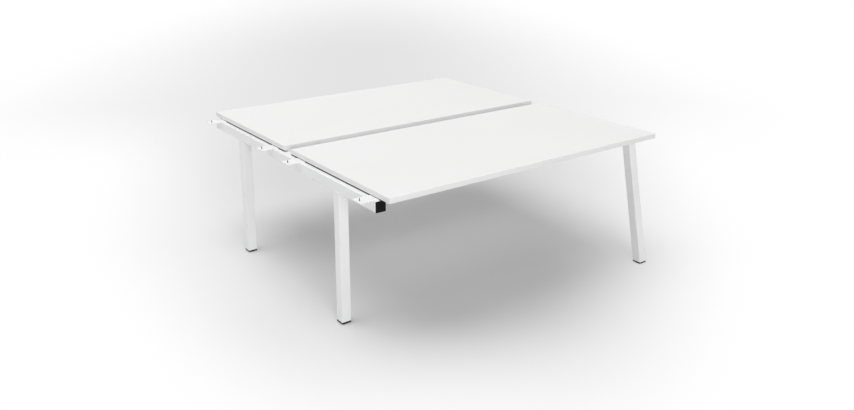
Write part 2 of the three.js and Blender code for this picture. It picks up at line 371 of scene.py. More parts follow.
def endTree(tree, entry, leave, geometry):
    real = addNode(tree, "GeometryNodeRealizeInstances", {"Geometry": geometry})[0]
    paintInputs = {"Geometry": real, "Material": entry["Material"]}
    painted = addNode(tree, "GeometryNodeSetMaterial", paintInputs)[0]
    tree.links.new(painted, leave["Geometry"])
    return tree


def joinAll(tree, parts):
    return addNode(tree, "GeometryNodeJoinGeometry", {0: parts})[0]


def moved(tree, geometry, shift):
    return addNode(tree, "GeometryNodeTransform", {"Geometry": geometry, "Translation": shift})[0]


def raised(tree, geometry, height):
    return moved(tree, geometry, addNode(tree, "ShaderNodeCombineXYZ", {"Z": height})[0])


# A solid round bar along a curve
def roundBar(tree, curve, sides, radius, **more):
    section = addNode(tree, "GeometryNodeCurvePrimitiveCircle", {"Resolution": sides, "Radius": radius})[0]
    barInputs = {"Curve": curve, "Profile Curve": section, "Fill Caps": True, **more}
    return addNode(tree, "GeometryNodeCurveToMesh", barInputs)[0]


def growPiece(name, tree, carrierMesh, values, slotName, body, nodes=(), sharpAngle=usualSharp):
    piece = addObject(name, carrierMesh)
    modifier = piece.modifiers.new("grow", "NODES")
    modifier.node_group = tree
    wanted = {**values, "Material": finishes[slotName]}
    for item in tree.interface.items_tree:
        if item.in_out == "INPUT" and item.name in wanted:
            modifier[item.identifier] = wanted[item.name]
    mesh = evaluatedMesh(piece)
    piece.modifiers.remove(modifier)
    piece.data = mesh
    smoothMesh(mesh, sharpAngle)
    registerPiece(piece, body, nodes)


# Desktops: the CAD boards stay, with strips of edging that have rounded arrises
edging = {"thick": 0.0022, "arris": 0.0012, "corner": 0.0011, "steps": 5, "lead": 0.0005, "inner": 0.00015}
topLow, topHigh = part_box("front_top_board")
topTall = topHigh.z - topLow.z


def edgingSection():
    thick, arris, inner = edging["thick"], edging["arris"], edging["inner"]
    corners = [
        (thick - arris, topTall - arris, arris), (inner, topTall - inner, inner),
        (inner, inner, inner), (thick - arris, arris, arris),
    ]
    section = []
    for quarter, (out, up, radius) in enumerate(corners):
        corner = roundCorner(out, up, radius, quarter * quarterTurn, edging["steps"], edging["lead"])
        if radius == inner:  # the glued side has no wear
            corner = [(x, y, 0.0) for x, y, mark in corner[1:-1]]
        section += corner
    return section


# A strip runs along an edge from the low corner of its inner face; ends that make a corner are rounded
def edgingStrip(name, inside, outward, along, length, roundEnds):
    section = edgingSection()
    corner = edging["corner"]
    flat = edging["thick"] - corner
    stations = [(0.0, 1.0), (length, 1.0)]
    if roundEnds:
        turns = quarterTurns(edging["steps"])
        ending = [(length - corner + corner * math.sin(turn), math.cos(turn)) for turn in turns]
        stations = [(length - place, share) for place, share in reversed(ending)] + ending
    rings = []
    for place, share in stations:
        ring = []
        for out, up, mark in section:
            shown = out if out < flat else flat + (out - flat) * share
            point = inside + along * place + outward * shown + zAxis * up
            ring.append((*point, mark))
        rings.append(ring)
    return loftMesh(name, rings)


def makeEdging(top):
    low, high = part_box(f"{top}_edge_front")[0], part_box(f"{top}_edge_back")[1]
    thick = edging["thick"]
    shortLow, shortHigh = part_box(f"{top}_edge_left")
    shortLength = shortHigh.y - shortLow.y
    length = high.x - low.x
    strips = [
        ("front", Vector((low.x, low.y + thick, low.z)), -yAxis, xAxis, length, True),
        ("back", Vector((low.x, high.y - thick, low.z)), yAxis, xAxis, length, True),
        ("left", Vector((low.x + thick, shortLow.y, low.z)), -xAxis, yAxis, shortLength, False),
        ("right", Vector((high.x - thick, shortLow.y, low.z)), xAxis, yAxis, shortLength, False),
    ]
    for edge, *strip in strips:
        node = f"{top}_edge_{edge}"
        standFor(node, edgingStrip(node, *strip), "edging")


for half in halves:
    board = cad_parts[f"{half}_top_board"]
    board.data.materials.clear()
    board.data.materials.append(finishes["melamine_board"])
    makeEdging(f"{half}_top")
print("desktops dressed")

# Square tube between two planes, each a point and a normal
tubing = {"side": 0.050, "stretcherSide": 0.040, "wall": 0.002, "round": 0.003, "steps": 8, "lead": 0.0008}
tubeSide = tubing["side"]
steep = 0.5  # a tube whose direction has more X than this lies along the desk


def planeAt(axis, place):
    return axis * place, axis


def meetPlane(origin, along, plane):
    point, normal = plane
    return origin + along * ((point - origin).dot(normal) / along.dot(normal))


def tubeRing(loop, base, along, plane):
    across = xAxis if abs(along.x) < steep else yAxis
    upward = along.cross(across)
    return [(*meetPlane(base + across * x + upward * y, along, plane), mark) for x, y, mark in loop]


def tubeMesh(name, width, base, along, start, end):
    wall, steps, lead = tubing["wall"], tubing["steps"], tubing["lead"]
    hollow = width - 2 * wall
    outer = roundedLoop(width, width, tubing["round"], steps, lead)
    inner = roundedLoop(hollow, hollow, tubing["round"] - wall, steps, lead)
    inner = [(x, y, 0.0) for x, y, mark in inner]
    ends = [(outer, start), (outer, end), (inner, end), (inner, start)]
    rings = [tubeRing(loop, base, along, plane) for loop, plane in ends]
    return loftMesh(name, rings, wrap=True)


# Shared frame
sharedMiddle = middleOf("shared_beam")
beamLow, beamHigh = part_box("shared_beam")
beamZ = sharedMiddle.z
legTopZ = beamZ - tubeSide / 2
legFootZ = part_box("shared_leg_front")[0].z
beamEnds = [planeAt(yAxis, beamLow.y), planeAt(yAxis, beamHigh.y)]
legEnds = [planeAt(zAxis, legFootZ), planeAt(zAxis, legTopZ)]
mesh = tubeMesh("shared_beam", tubeSide, sharedMiddle, yAxis, *beamEnds)
standFor("shared_beam", mesh, coat)
for half in halves:
    node = f"shared_leg_{half}"
    standFor(node, tubeMesh(node, tubeSide, middleOf(node), zAxis, *legEnds), coat)

# End frame, mitred where its leaning legs meet the beam
endFrame = {"cornerY": 0.772, "mitreGap": 0.0001}
mitreGap = endFrame["mitreGap"]
endMiddle = middleOf("end_beam")
endFootY = abs(middleOf("foot_pad_end_front").y)
lean = math.atan2(endFootY - endFrame["cornerY"], beamZ - legFootZ)


def mitrePlane(sign, offset):
    normal = Vector((0, -sign * (1 + math.sin(lean)), math.cos(lean))).normalized()  # faces the beam
    corner = Vector((endMiddle.x, sign * endFrame["cornerY"], beamZ))
    return corner + normal * offset, normal


mitres = [mitrePlane(sign, mitreGap) for sign in halves.values()]
mesh = tubeMesh("end_beam", tubeSide, endMiddle, yAxis, *mitres)
standFor("end_beam", mesh, coat)
for half, sign in halves.items():
    node = f"end_leg_{half}"
    along = Vector((0, -sign * math.sin(lean), math.cos(lean)))
    base = Vector((endMiddle.x, sign * endFootY, legFootZ))
    mesh = tubeMesh(node, tubeSide, base, along, legEnds[0], mitrePlane(sign, -mitreGap))
    standFor(node, mesh, coat)
print("frames made, end legs lean", round(math.degrees(lean), 2), "degrees")

# Flat plates with eased edges and holes, from an outline in their own plane
plates = {
    "round": 0.004, "ease": 0.0005, "easeSteps": 2, "steps": 6, "sharp": 20, "merge": 0.000005,
    "holeRadius": 0.0027, "holeSides": 28, "linkHole": 0.074,
}


# Way is 1 counter-clockwise and -1 clockwise, as a hole needs it
def circleLoop(x, y, radius, count, way):
    return [onCircle(x, y, radius, way * fullTurn * step / count) for step in range(count)]


def plateMesh(name, length, width, thick, holes, holeRadius):
    ease = plates["ease"]
    outline = roundedLoop(length - 2 * ease, width - 2 * ease, plates["round"] - ease, plates["steps"], 0.0)
    loops = [[(x, y) for x, y, mark in outline]]
    loops += [circleLoop(x, y, holeRadius + ease, plates["holeSides"], -1) for x, y in holes]
    curve = bpy.data.curves.new(name, "CURVE")
    curve.dimensions = "2D"
    curve.fill_mode = "BOTH"
    curve.extrude = thick / 2 - ease
    curve.bevel_depth = ease
    curve.bevel_resolution = plates["easeSteps"]
    for loop in loops:
        spline = curve.splines.new("POLY")
        spline.points.add(len(loop) - 1)
        spline.use_cyclic_u = True
        for point, (x, y) in zip(spline.points, loop):
            point.co = (x, y, 0, 1)
    carrier = addObject(name, curve)
    flat = evaluatedMesh(carrier)
    bpy.data.objects.remove(carrier)
    bpy.data.curves.remove(curve)
    shape = bmesh.new()
    shape.from_mesh(flat)
    bpy.data.meshes.remove(flat)
    bmesh.ops.remove_doubles(shape, verts=shape.verts, dist=plates["merge"])
    return closeMesh(name, shape, plates["sharp"])


# A level plate or pad from corner to corner of a box, with holes along its middle line
def layPlate(name, low, high, holes, slotName, *nodes):
    middle = (low + high) / 2
    size = high - low
    places = [(x - middle.x, 0.0) for x in holes]
    mesh = plateMesh(name, size.x, size.y, size.z, places, plates["holeRadius"])
    mesh.transform(Matrix.Translation(middle))
    addPiece(name, mesh, slotName, "desk", *nodes)


# Each plate carries a thin black pad where it is under a desktop: painted shade, a dark sheet standing for
# the shadow line between plate and desktop
paintedShadePad = {"thick": 0.002, "setBack": 0.0003, "inset": 0.0005, "slack": 0.00005}
rows = ("front_outer", "front_inner", "rear_inner", "rear_outer")
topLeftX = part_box("front_top_edge_left")[0].x


def layPlateAndPad(kind, row, holes, topHole):
    node = f"{kind}_plate_{row}"
    low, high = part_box(node)
    steelTop = Vector((high.x, high.y, high.z - paintedShadePad["thick"]))
    layPlate(camelName(node), low, steelTop, holes, coat, node)
    inset = paintedShadePad["inset"]
    startX = max(low.x + inset, topLeftX + paintedShadePad["setBack"])
    padLow = Vector((startX, low.y + inset, steelTop.z + paintedShadePad["slack"]))
    padHigh = high - Vector((inset, inset, 0))
    # painted shade: this black pad stands for the dark shadow line above the plate
    layPlate(camelName(f"damping_pad_{kind}_{row}"), padLow, padHigh, [topHole], "black_plastic")


freeHole = sharedMiddle.x - plates["linkHole"]
sharedHole = sharedMiddle.x + plates["linkHole"]
endHole = endMiddle.x - plates["linkHole"]
for row in rows:
    layPlateAndPad("link", row, [freeHole, sharedHole], sharedHole)
    layPlateAndPad("end", row, [endHole], endHole)
print("plates and painted shade pads made")

# Black strips in the gap between the shared beam and the desktops, from plate to plate: painted shade, dark
# sheets filling the unlit gap
paintedShadeStrip = {
    "setBack": 0.0003, "wide": 0.010, "clear": 0.003, "round": 0.0004, "steps": 3, "lead": 0.0003,
    "slack": 0.00005,
}


def makePaintedShadeStrip(name, start, end):
    low = beamZ + tubeSide / 2 + paintedShadeStrip["slack"]
    high = topLow.z - paintedShadeStrip["slack"]
    wide, tall = paintedShadeStrip["wide"], high - low
    x = topLeftX + paintedShadeStrip["setBack"] + wide / 2
    section = roundedLoop(wide, tall, paintedShadeStrip["round"], paintedShadeStrip["steps"], paintedShadeStrip["lead"])
    rings = []
    for y in (start, end):
        rings.append([(x + across, y, low + tall / 2 + up, 0.0) for across, up, mark in section])
    # painted shade: a black strip where the gap has only shadow
    addPiece(name, loftMesh(name, rings), "black_plastic", "desk")


def spanFromMiddle(node):
    low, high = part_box(node)
    return sorted((abs(low.y), abs(high.y)))


clear = paintedShadeStrip["clear"]
for half, sign in halves.items():
    top = spanFromMiddle(f"{half}_top_edge_left")
    inner = spanFromMiddle(f"link_plate_{half}_inner")
    outer = spanFromMiddle(f"link_plate_{half}_outer")
    spans = {
        "Inner": (top[0] + clear, inner[0] - clear),
        "Middle": (inner[1] + clear, outer[0] - clear),
        "Outer": (outer[1] + clear, beamHigh.y - clear),
    }
    for part, (start, end) in spans.items():
        makePaintedShadeStrip(f"paintedShadeStrip{half.capitalize()}{part}", sign * start, sign * end)
print("gap strips laid")

# Stretchers with a bolted flange at each end
stretchers = {"boltSpread": 0.038, "boltHole": 0.0045}
flangeTurn = Matrix.Rotation(quarterTurn, 4, "Y")
flangeHoles = [(0.0, -stretchers["boltSpread"]), (0.0, stretchers["boltSpread"])]
for half in halves:
    node = f"stretcher_{half}"
    low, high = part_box(node)
    ends = [planeAt(xAxis, low.x), planeAt(xAxis, high.x)]
    mesh = tubeMesh(node, tubing["stretcherSide"], (low + high) / 2, xAxis, *ends)
    standFor(node, mesh, coat)
    for end in ("left", "right"):
        node = f"stretcher_flange_{half}_{end}"
        low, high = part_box(node)
        size = high - low
        mesh = plateMesh(node, size.z, size.y, size.x, flangeHoles, stretchers["boltHole"])
        mesh.transform(Matrix.Translation((low + high) / 2) @ flangeTurn)
        standFor(node, mesh, coat)
print("stretchers made")

# Weld beads along the joints: a rippled round bead that follows a path
welds = {
    "legRadius": 0.0016, "mitreRadius": 0.0010, "plateRadius": 0.0021,
    "loopSteps": 4, "plateReach": 0.42, "sharp": 60,
}
bead = {"Radius": welds["legRadius"], "Ripple": 0.14, "Pitch": 0.0045, "Step": 0.0009, "Sides": 10}


def makeBeadTree():
    tree, entry, leave = startTree("weldBead", numberSockets(bead))
    path = addNode(tree, "GeometryNodeMeshToCurve", {"Mesh": entry["Geometry"]})[0]
    evenInputs = {"Curve": path, "Length": entry["Step"]}
    even = addNode(tree, "GeometryNodeResampleCurve", evenInputs, mode="LENGTH")[0]
    run = addNode(tree, "GeometryNodeSplineParameter")["Length"]
    waves = addMath(tree, "DIVIDE", scaled(tree, run, fullTurn), entry["Pitch"])
    swell = addMath(tree, "MULTIPLY_ADD", addMath(tree, "SINE", waves), entry["Ripple"], 1.0)
    bar = roundBar(tree, even, entry["Sides"], entry["Radius"], Scale=swell)
    return endTree(tree, entry, leave, bar)


def pathMesh(name, paths):
    points, edges = [], []
    for path, closed in paths:
        first = len(points)
        points += [tuple(point) for point in path]
        edges += [(first + step, first + step + 1) for step in range(len(path) - 1)]
        if closed:
            edges.append((first + len(path) - 1, first))
    mesh = bpy.data.meshes.new(name)
    mesh.from_pydata(points, edges, [])
    return mesh


def roundTube(width, base, along, plane):
    loop = roundedLoop(width, width, tubing["round"], welds["loopSteps"], 0.0)
    return [Vector(point[:3]) for point in tubeRing(loop, base, along, plane)], True


def besidePlates(kind, beamX):
    paths = []
    for row in rows:
        low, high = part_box(f"{kind}_plate_{row}")
        for y in (low.y, high.y):
            reach = welds["plateReach"] * tubeSide
            paths.append(([Vector((beamX - reach, y, low.z)), Vector((beamX + reach, y, low.z))], False))
    return paths


def aroundStretchers():
    paths = []
    for half in halves:
        low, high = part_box(f"stretcher_{half}")
        for x in (low.x, high.x):
            paths.append(roundTube(tubing["stretcherSide"], (low + high) / 2, xAxis, planeAt(xAxis, x)))
    return paths


aroundLegs = [roundTube(tubeSide, middleOf(f"shared_leg_{half}"), zAxis, legEnds[1]) for half in halves]
aroundMitres = [roundTube(tubeSide, endMiddle, yAxis, mitrePlane(sign, 0.0)) for sign in halves.values()]
seams = [
    ("sharedLegWelds", aroundLegs, "legRadius"),
    ("linkPlateWelds", besidePlates("link", sharedMiddle.x), "plateRadius"),
    ("endPlateWelds", besidePlates("end", endMiddle.x), "plateRadius"),
    ("endMitreWelds", aroundMitres, "mitreRadius"),
    ("stretcherWelds", aroundStretchers(), "legRadius"),
]
beadTree = makeBeadTree()
for name, paths, radius in seams:
    values = {**bead, "Radius": welds[radius]}
    carrier = pathMesh(name, paths)
    growPiece(name, beadTree, carrier, values, coat, "desk", sharpAngle=welds["sharp"])
print("welds laid:", sum(len(paths) for name, paths, radius in seams))

# Fasteners set on points, each turned to its facing and then by chance about its own axis
fastening = {"sharp": 28, "sliver": 0.000004}  # points of a cut closer than a sliver become one


def pointMesh(name, places):
    mesh = bpy.data.meshes.new(name)
    mesh.from_pydata([tuple(point) for point, facing in places], [], [])
    facings = mesh.attributes.new("facing", "FLOAT_VECTOR", "POINT")
    for index, (point, facing) in enumerate(places):
        facings.data[index].vector = facing
    return mesh


def setOnPoints(tree, entry, fastener):
    named = addNode(tree, "GeometryNodeInputNamedAttribute", {"Name": "facing"}, data_type="FLOAT_VECTOR")
    aimed = addNode(tree, "FunctionNodeAlignRotationToVector", {"Vector": named[0]}, axis="Z")[0]
    chanceInputs = {"Min": 0.0, "Max": fullTurn, "Seed": entry["Seed"]}
    chance = addNode(tree, "FunctionNodeRandomValue", chanceInputs)["Value"]
    twistInputs = {"Axis": (0, 0, 1), "Angle": chance}
    twist = addNode(tree, "FunctionNodeAxisAngleToRotation", twistInputs)[0]
    turnInputs = {"Rotation": aimed, "Rotate By": twist}
    turned = addNode(tree, "FunctionNodeRotateRotation", turnInputs, rotation_space="LOCAL")[0]
    setInputs = {"Points": entry["Geometry"], "Instance": fastener, "Rotation": turned}
    return addNode(tree, "GeometryNodeInstanceOnPoints", setInputs)[0]


def growFasteners(name, tree, places, values, slotName, nodes=()):
    carrier = pointMesh(name, places)
    growPiece(name, tree, carrier, values, slotName, "desk", nodes, fastening["sharp"])


def cylinderNode(tree, count, radius, depth):
    inputs = {"Vertices": count, "Radius": radius, "Depth": depth}
    return addNode(tree, "GeometryNodeMeshCylinder", inputs)["Mesh"]


# A cylinder that stands on a level, or hangs from it where share is negative
def standing(tree, count, radius, depth, share=0.5, level=0.0):
    middle = addMath(tree, "MULTIPLY_ADD", depth, share, level)
    return raised(tree, cylinderNode(tree, count, radius, depth), middle)


def coneNode(tree, count, top, bottom, depth):
    inputs = {"Vertices": count, "Radius Top": top, "Radius Bottom": bottom, "Depth": depth}
    return addNode(tree, "GeometryNodeMeshCone", inputs)["Mesh"]


def cutMesh(tree, operation, inputs):
    cut = addNode(tree, "GeometryNodeMeshBoolean", inputs, operation=operation, solver="EXACT")["Mesh"]
    merged = {"Geometry": cut, "Distance": fastening["sliver"]}
    return addNode(tree, "GeometryNodeMergeByDistance", merged)[0]


topScrew = {
    "Head Radius": 0.0046, "Head Height": 0.0028, "Shank Radius": 0.0022, "Shank Length": 0.019,
    "Thread Pitch": 0.0018, "Recess Width": 0.0011, "Recess Length": 0.0050, "Recess Depth": 0.0014,
    "Seed": 7,
}
linkScrew = {**topScrew, "Shank Length": 0.0150, "Seed": 11}
screwForm = {
    "dome": 1.5, "core": 0.72, "straight": 0.8, "tip": 0.15, "ridge": 0.24,
    "headSides": 40, "domeRings": 32, "shankSides": 20, "threadSteps": 24, "ridgeSides": 4,
}


def makeScrewHead(tree, entry):
    tall, sides = entry["Head Height"], screwForm["headSides"]
    blank = standing(tree, sides, entry["Head Radius"], tall)
    domeRadius = scaled(tree, entry["Head Radius"], screwForm["dome"])
    ballInputs = {"Segments": sides, "Rings": screwForm["domeRings"], "Radius": domeRadius}
    ball = addNode(tree, "GeometryNodeMeshUVSphere", ballInputs)["Mesh"]
    ball = raised(tree, ball, addMath(tree, "SUBTRACT", tall, domeRadius))
    head = cutMesh(tree, "INTERSECT", {"Mesh 2": [blank, ball]})
    deep = scaled(tree, entry["Recess Depth"], 2.0)
    long, thin = entry["Recess Length"], entry["Recess Width"]
    cross = []
    for x, y in ((long, thin), (thin, long)):
        size = addNode(tree, "ShaderNodeCombineXYZ", {"X": x, "Y": y, "Z": deep})[0]
        bar = addNode(tree, "GeometryNodeMeshCube", {"Size": size})["Mesh"]
        cross.append(raised(tree, bar, tall))
    return cutMesh(tree, "DIFFERENCE", {"Mesh 1": head, "Mesh 2": cross})


def makeScrewTree():
    tree, entry, leave = startTree("topScrew", numberSockets(topScrew))
    head = makeScrewHead(tree, entry)
    length, pitch, count = entry["Shank Length"], entry["Thread Pitch"], screwForm["shankSides"]
    core = scaled(tree, entry["Shank Radius"], screwForm["core"])
    straight = scaled(tree, length, screwForm["straight"])
    shank = standing(tree, count, core, straight, share=-0.5)
    point = scaled(tree, core, screwForm["tip"])
    tip = coneNode(tree, count, core, point, addMath(tree, "SUBTRACT", length, straight))
    tip = raised(tree, tip, scaled(tree, length, -1.0))
    ridge = scaled(tree, pitch, screwForm["ridge"])
    crest = addMath(tree, "SUBTRACT", entry["Shank Radius"], ridge)
    helixInputs = {
        "Resolution": screwForm["threadSteps"], "Rotations": addMath(tree, "DIVIDE", straight, pitch),
        "Start Radius": crest, "End Radius": crest, "Height": straight,
    }
    helix = addNode(tree, "GeometryNodeCurveSpiral", helixInputs)[0]
    thread = roundBar(tree, helix, screwForm["ridgeSides"], ridge)
    thread = raised(tree, thread, scaled(tree, straight, -1.0))
    screw = joinAll(tree, [head, shank, tip, thread])
    return endTree(tree, entry, leave, setOnPoints(tree, entry, screw))


screwTree = makeScrewTree()
screwNodes = [f"top_screw_{kind}_{row}" for kind in ("shared", "end") for row in rows]
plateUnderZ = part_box("link_plate_front_outer")[0].z


def underPlate(x, y):
    return Vector((x, y, plateUnderZ)), -zAxis


screwPlaces = [underPlate(middleOf(node).x, middleOf(node).y) for node in screwNodes]
linkPlaces = [underPlate(freeHole, middleOf(f"link_plate_{row}").y) for row in rows]
growFasteners("topScrews", screwTree, screwPlaces, topScrew, "black_zinc_steel", screwNodes)
growFasteners("linkScrews", screwTree, linkPlaces, linkScrew, "black_zinc_steel")

flangeBolt = {
    "Head Radius": 0.0075, "Head Height": 0.0050, "Shank Radius": 0.0040, "Shank Length": 0.0150,
    "Washer Radius": 0.0082, "Washer Thick": 0.0012, "Seed": 3,
}
boltForm = {
    "flat": 0.85, "slope": 1.73, "over": 0.5,
    "headSides": 6, "bevelSides": 48, "washerSides": 40, "shankSides": 24,
}


def makeBoltTree():
    tree, entry, leave = startTree("flangeBolt", numberSockets(flangeBolt))
    tall, washerThick = entry["Head Height"], entry["Washer Thick"]
    slope, over = boltForm["slope"], boltForm["over"]
    hexagon = standing(tree, boltForm["headSides"], entry["Head Radius"], tall, level=washerThick)
    flat = scaled(tree, entry["Head Radius"], boltForm["flat"])
    coneTop = addMath(tree, "MULTIPLY_ADD", tall, -slope * over, flat)
    coneBottom = addMath(tree, "MULTIPLY_ADD", tall, slope * (1 + over), flat)
    cone = coneNode(tree, boltForm["bevelSides"], coneTop, coneBottom, scaled(tree, tall, 1 + 2 * over))
    cone = raised(tree, cone, addMath(tree, "MULTIPLY_ADD", tall, -over, washerThick))
    head = cutMesh(tree, "INTERSECT", {"Mesh 2": [hexagon, cone]})
    washer = standing(tree, boltForm["washerSides"], entry["Washer Radius"], washerThick)
    shank = standing(tree, boltForm["shankSides"], entry["Shank Radius"], entry["Shank Length"], share=-0.5)
    bolt = joinAll(tree, [head, washer, shank])
    return endTree(tree, entry, leave, setOnPoints(tree, entry, bolt))


boltNodes, boltPlaces = [], []
for half in halves:
    for end, facing in (("left", xAxis), ("right", -xAxis)):
        low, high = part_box(f"stretcher_flange_{half}_{end}")
        seatX = high.x if end == "left" else low.x
        for which in ("a", "b"):
            node = f"flange_bolt_{half}_{end}_{which}"
            boltNodes.append(node)
            boltPlaces.append((Vector((seatX, middleOf(node).y, middleOf(node).z)), facing))
growFasteners("flangeBolts", makeBoltTree(), boltPlaces, flangeBolt, "zinc_steel", boltNodes)
print("fasteners set:", len(screwPlaces) + len(linkPlaces), "screws and", len(boltPlaces), "bolts")

# Black end caps of the shared beam, with a rounded rim and a shallow sunk face
beamCap = {
    "round": 0.003, "leastRound": 0.0006, "edge": 0.0012, "steps": 5, "lead": 0.0004,
    "rim": 0.0045, "sunk": 0.0006, "plugSide": 0.0454, "plugTaper": 0.002,
}


def makeBeamCap(node, sign):
    low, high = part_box(node)
    middle = (low + high) / 2
    face, plugEnd = (low.y, high.y) if sign < 0 else (high.y, low.y)
    back = beamLow.y if sign < 0 else beamHigh.y
    thick = abs(face - back)
    plugDeep = -abs(plugEnd - back)
    edge, sunk = beamCap["edge"], beamCap["sunk"]
    plug, taper = beamCap["plugSide"], beamCap["plugTaper"]
    levels = [
        (plug - taper, plugDeep), (plug, plugDeep + taper), (plug, 0.0),
        (tubeSide, 0.0), (tubeSide, thick - edge),
    ]
    for turn in quarterTurns(beamCap["steps"])[1:]:
        levels.append((tubeSide - 2 * edge * (1 - math.cos(turn)), thick - edge + edge * math.sin(turn)))
    rimSide = tubeSide - 2 * beamCap["rim"]
    levels += [(rimSide, thick), (rimSide - 2 * sunk, thick - sunk)]
    rings = []
    for width, height in levels:
        radius = max(beamCap["round"] - (tubeSide - width) / 2, beamCap["leastRound"])
        ring = []
        for x, y, mark in roundedLoop(width, width, radius, beamCap["steps"], beamCap["lead"]):
            onEdge = mark if height > 0 else 0.0
            ring.append((middle.x - sign * x, back + sign * height, middle.z + y, onEdge))
        rings.append(ring)
    standFor(node, loftMesh(node, rings), "black_plastic")


for half, sign in halves.items():
    makeBeamCap(f"shared_beam_cap_{half}", sign)
print("beam caps made")

# Levelling feet: pressed-in insert, turning threaded stud, ribbed pad on the floor
insert = {
    "edge": 0.0007, "round": 0.003, "steps": 4, "lead": 0.0003, "legGap": 0.0002, "boreRadius": 0.0055,
    "plugSide": 0.0454, "plugTaper": 0.0012, "plugRound": 0.001, "tipRound": 0.0008,
}


def makeInsert(name, tilt, sign):
    node = f"foot_insert_{name}"
    low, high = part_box(node)
    middle = middleOf(f"foot_pad_{name}")
    flangeTop = legFootZ - insert["legGap"]
    edge, plug, taper = insert["edge"], insert["plugSide"], insert["plugTaper"]
    deep = tubeSide / math.cos(tilt)
    plugDeep = plug / math.cos(tilt)
    levels = []
    for turn in quarterTurns(insert["steps"]):
        inset = edge * (1 - math.sin(turn))
        height = low.z + edge - edge * math.cos(turn)
        levels.append((tubeSide - 2 * inset, deep - 2 * inset, height, insert["round"] - inset))
    levels += [
        (tubeSide, deep, flangeTop, insert["round"]),
        (plug, plugDeep, flangeTop, insert["plugRound"]),
        (plug, plugDeep, high.z - taper, insert["plugRound"]),
        (plug - 2 * taper, plugDeep - 2 * taper, high.z, insert["tipRound"]),
    ]
    shear = -sign * math.tan(tilt)
    rings = []
    for width, depth, height, radius in levels:
        shift = shear * (height - legFootZ) if height > flangeTop else 0.0
        loop = roundedLoop(width, depth, radius, insert["steps"], insert["lead"])
        worn = 1.0 if height < flangeTop else 0.0
        rings.append([(middle.x + x, middle.y + y + shift, height, mark * worn) for x, y, mark in loop])
    outline = roundedLoop(tubeSide, tubeSide, insert["round"], insert["steps"], insert["lead"])
    turns = [math.atan2(y, x) for x, y, mark in outline]
    for height in (high.z, low.z):
        bore = [onCircle(middle.x, middle.y, insert["boreRadius"], turn) for turn in turns]
        rings.append([(x, y, height, 0.0) for x, y in bore])
    standFor(node, loftMesh(node, rings, wrap=True), "black_plastic")


stud = {
    "pitch": 0.0015, "depth": 0.0009, "rows": 8, "sides": 28, "chamfer": 2.2, "sharp": 70,
    "crestSlope": 1.6, "crestDrop": 0.3,
}


def makeStud(name):
    node = f"foot_stud_{name}"
    low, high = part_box(node)
    middle = (low + high) / 2
    radius = (high.x - low.x) / 2
    height = high.z - low.z
    levels = round(height / stud["pitch"] * stud["rows"])
    rings = []
    for level in range(levels + 1):
        up = height * level / levels
        tip = min(up, height - up) + radius - stud["chamfer"] * stud["depth"]  # chamfered at both ends
        ring = []
        for step in range(stud["sides"]):
            share = step / stud["sides"]
            phase = (up / stud["pitch"] - share) % 1.0
            crest = min(1.0, max(0.0, stud["crestSlope"] * abs(2 * phase - 1) - stud["crestDrop"]))
            reach = min(radius - stud["depth"] * (1 - crest), tip)
            ring.append((*onCircle(middle.x, middle.y, reach, share * fullTurn), low.z + up, 0.0))
        rings.append(ring)
    standFor(node, loftMesh(node, rings, sharpAngle=stud["sharp"]), "zinc_steel", f"stud_{name}")


footPad = {
    "edge": 0.0009, "steps": 4, "sides": 72, "sunkRadius": 0.0155, "sunkDepth": 0.0004,
    "socketRadius": 0.0055, "socketFloor": 0.001, "ribInset": 0.0003, "ribSides": 10,
}
padRibs = {"Ribs": 40, "Rib Radius": 0.0007, "Rib Height": 0.0014}


def makeRibTree():
    inputs = [*numberSockets(padRibs), ("Ring Radius", number, 0.02), ("Centre", vector, None)]
    tree, entry, leave = startTree("padRibs", inputs)
    ringInputs = {"Vertices": entry["Ribs"], "Radius": entry["Ring Radius"]}
    ring = addNode(tree, "GeometryNodeMeshCircle", ringInputs)["Mesh"]
    rib = cylinderNode(tree, footPad["ribSides"], entry["Rib Radius"], entry["Rib Height"])
    ribs = addNode(tree, "GeometryNodeInstanceOnPoints", {"Points": ring, "Instance": rib})[0]
    ribs = moved(tree, ribs, entry["Centre"])
    return endTree(tree, entry, leave, joinAll(tree, [entry["Geometry"], ribs]))


ribTree = makeRibTree()


def makePad(name):
    node = f"foot_pad_{name}"
    low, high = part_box(node)
    middle = (low + high) / 2
    radius = (high.y - low.y) / 2
    tall = high.z - low.z
    edge, sunk, socket = footPad["edge"], footPad["sunkRadius"], footPad["socketRadius"]
    turns = quarterTurns(footPad["steps"])
    levels = [(sunk - footPad["sunkDepth"], footPad["sunkDepth"]), (sunk, 0.0)]
    levels += [(radius - edge + edge * math.sin(turn), edge - edge * math.cos(turn)) for turn in turns]
    levels += [(radius - edge + edge * math.cos(turn), tall - edge + edge * math.sin(turn)) for turn in turns]
    levels += [(socket, tall), (socket, footPad["socketFloor"])]
    rings = []
    for reach, up in levels:
        mark = 1.0 if radius - edge < reach < radius else 0.0
        ring = circleLoop(middle.x, middle.y, reach, footPad["sides"], 1)
        rings.append([(x, y, low.z + up, mark) for x, y in ring])
    values = {**padRibs, "Ring Radius": radius - footPad["ribInset"], "Centre": middle}
    growPiece(camelName(node), ribTree, loftMesh(node, rings), values, "black_plastic", f"pad_{name}", [node])


for place, tilt in (("shared", 0.0), ("end", lean)):
    for half, sign in halves.items():
        makeInsert(f"{place}_{half}", tilt, sign)
        makeStud(f"{place}_{half}")
        makePad(f"{place}_{half}")
print("feet made")

# Floor: pale, keeps the shadow, fades to white in front and at the sides, and opens to the backdrop behind
photoYaw = 0.9387  # direction in which the photograph looks
floor = {
    "size": 60.0, "drop": 0.0002, "colour": openColour(0.770), "drift": 0.09,
    "width": 1.95, "frontSpread": 0.55, "backSpread": 0.22, "narrowest": 0.8,
    "sideFade": (0.33, 1.05), "frontFade": (0.80, 2.0), "backFade": (1.2, 3.6),
}


def smoothRamp(tree, value, start, end):
    return addRamp(tree, value, start, end, "SMOOTHSTEP")


def lessOf(tree, value):
    return addMath(tree, "SUBTRACT", 1.0, value)


